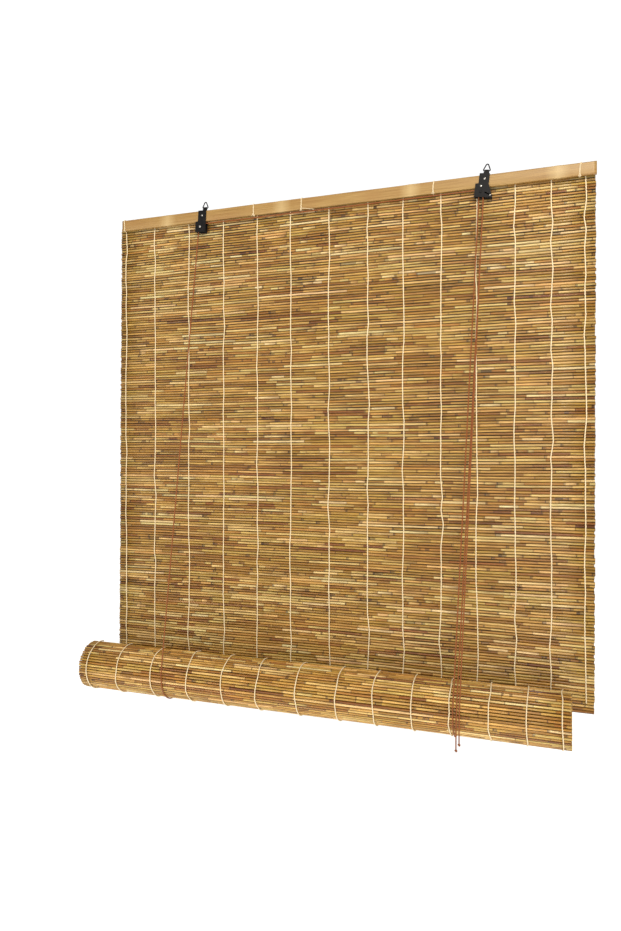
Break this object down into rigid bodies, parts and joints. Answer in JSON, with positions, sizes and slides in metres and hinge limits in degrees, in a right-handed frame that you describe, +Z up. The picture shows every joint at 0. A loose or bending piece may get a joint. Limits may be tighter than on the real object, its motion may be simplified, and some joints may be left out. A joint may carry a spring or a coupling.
{
  "type": "reed roll-up blind",
  "caption": "Roll-up window blind of horizontal reeds tied with warp strings, hung from a bamboo batten by two ringed pulley hangers, with cords cradling the rolled lower end.",
  "frame": {"origin": "midway between the crowns of the two hanging rings, on the inner side of the wire, where the wall hooks bear", "axes": "+X along the batten to the right seen from the room, +Y towards the wall, +Z up"},
  "size_m": [0.95, 0.1029, 0.9779],
  "materials": {
    "reed": "satin",
    "bamboo": "satin",
    "string": "matte",
    "cord": "matte",
    "black_metal": "satin",
    "rivet": "polished",
    "pulley": "matte"
  },
  "bodies": {
    "root": {"head_batten": "bamboo", "hanging_reeds": "reed", "warp_string_01": "string", "warp_string_02": "string", "warp_string_03": "string", "warp_string_04": "string", "warp_string_05": "string", "warp_string_06": "string", "warp_string_07": "string", "warp_string_08": "string", "warp_string_09": "string", "warp_string_10": "string", "warp_string_11": "string", "warp_string_12": "string", "warp_string_13": "string", "warp_string_14": "string", "batten_ties": "string", "left_hanger_front_plate": "black_metal", "left_hanger_back_plate": "black_metal", "left_hanger_rivets": "rivet", "left_pulley_axle": "rivet", "right_hanger_front_plate": "black_metal", "right_hanger_back_plate": "black_metal", "right_hanger_rivets": "rivet", "right_pulley_axle": "rivet", "cross_cord": "cord", "right_cord_over_pulley": "cord", "left_cord_front_leg": "cord", "left_cord_back_leg": "cord", "right_cord_front_leg": "cord", "right_cord_back_leg": "cord", "left_pull_cord": "cord", "right_pull_cord": "cord", "back_cord_eyes": "rivet", "back_cord_knots": "cord"},
    "left_ring": {"left_hanging_ring": "black_metal"},
    "right_ring": {"right_hanging_ring": "black_metal"},
    "left_pulley_wheel": {"left_pulley": "pulley"},
    "right_pulley_wheel": {"right_pulley": "pulley"},
    "lock": {"lock_roller": "rivet"},
    "slings": {"left_cord_sling": "cord", "right_cord_sling": "cord"},
    "roll": {"rolled_mat": "reed", "rolled_strings": "string", "bottom_batten": "bamboo"},
    "pull_ends": {"left_pull_cord_end": "cord", "right_pull_cord_end": "cord", "left_pull_knot": "cord", "right_pull_knot": "cord"}
  },
  "joints": [
    {"name": "roll_lift", "type": "slide", "parent": "root", "child": "slings", "axis": [0, 0, 1], "range_m": [0, 0.8084], "deforming": ["hanging_reeds", "warp_string_01", "warp_string_02", "warp_string_03", "warp_string_04", "warp_string_05", "warp_string_06", "warp_string_07", "warp_string_08", "warp_string_09", "warp_string_10", "warp_string_11", "warp_string_12", "warp_string_13", "warp_string_14", "left_cord_front_leg", "right_cord_front_leg", "left_cord_back_leg", "right_cord_back_leg"]},
    {"name": "roll_turn", "type": "hinge", "parent": "slings", "child": "roll", "pos_m": [0, -0.03909, -0.91819], "axis": [1, 0, 0], "range_deg": [-1080, 0]},
    {"name": "pull_drop", "type": "slide", "parent": "root", "child": "pull_ends", "axis": [0, 0, -1], "range_m": [0, 1.6168], "deforming": ["left_pull_cord", "right_pull_cord"]},
    {"name": "left_pulley_turn", "type": "hinge", "parent": "root", "child": "left_pulley_wheel", "pos_m": [-0.271, -0.00555, -0.04919], "axis": [0, 1, 0], "continuous": true},
    {"name": "right_pulley_turn", "type": "hinge", "parent": "root", "child": "right_pulley_wheel", "pos_m": [0.2661, -0.00555, -0.04669], "axis": [0, 1, 0], "continuous": true},
    {"name": "left_ring_swing", "type": "hinge", "parent": "root", "child": "left_ring", "pos_m": [-0.2644, 0, -0.01118], "axis": [0.9986, 0, -0.0523], "range_deg": [-90, 90]},
    {"name": "right_ring_swing", "type": "hinge", "parent": "root", "child": "right_ring", "pos_m": [0.27533, 0, -0.00923], "axis": [0.9925, 0, -0.1219], "range_deg": [-90, 90]},
    {"name": "lock_slide", "type": "slide", "parent": "root", "child": "lock", "axis": [-0.8356, 0, 0.5493], "range_m": [0, 0.01037]}
  ],
  "couplings": [
    {"joint": "roll_turn", "follows": "roll_lift", "rad_per_m": -23.314},
    {"joint": "pull_drop", "follows": "roll_lift", "ratio": 2}
  ]
}
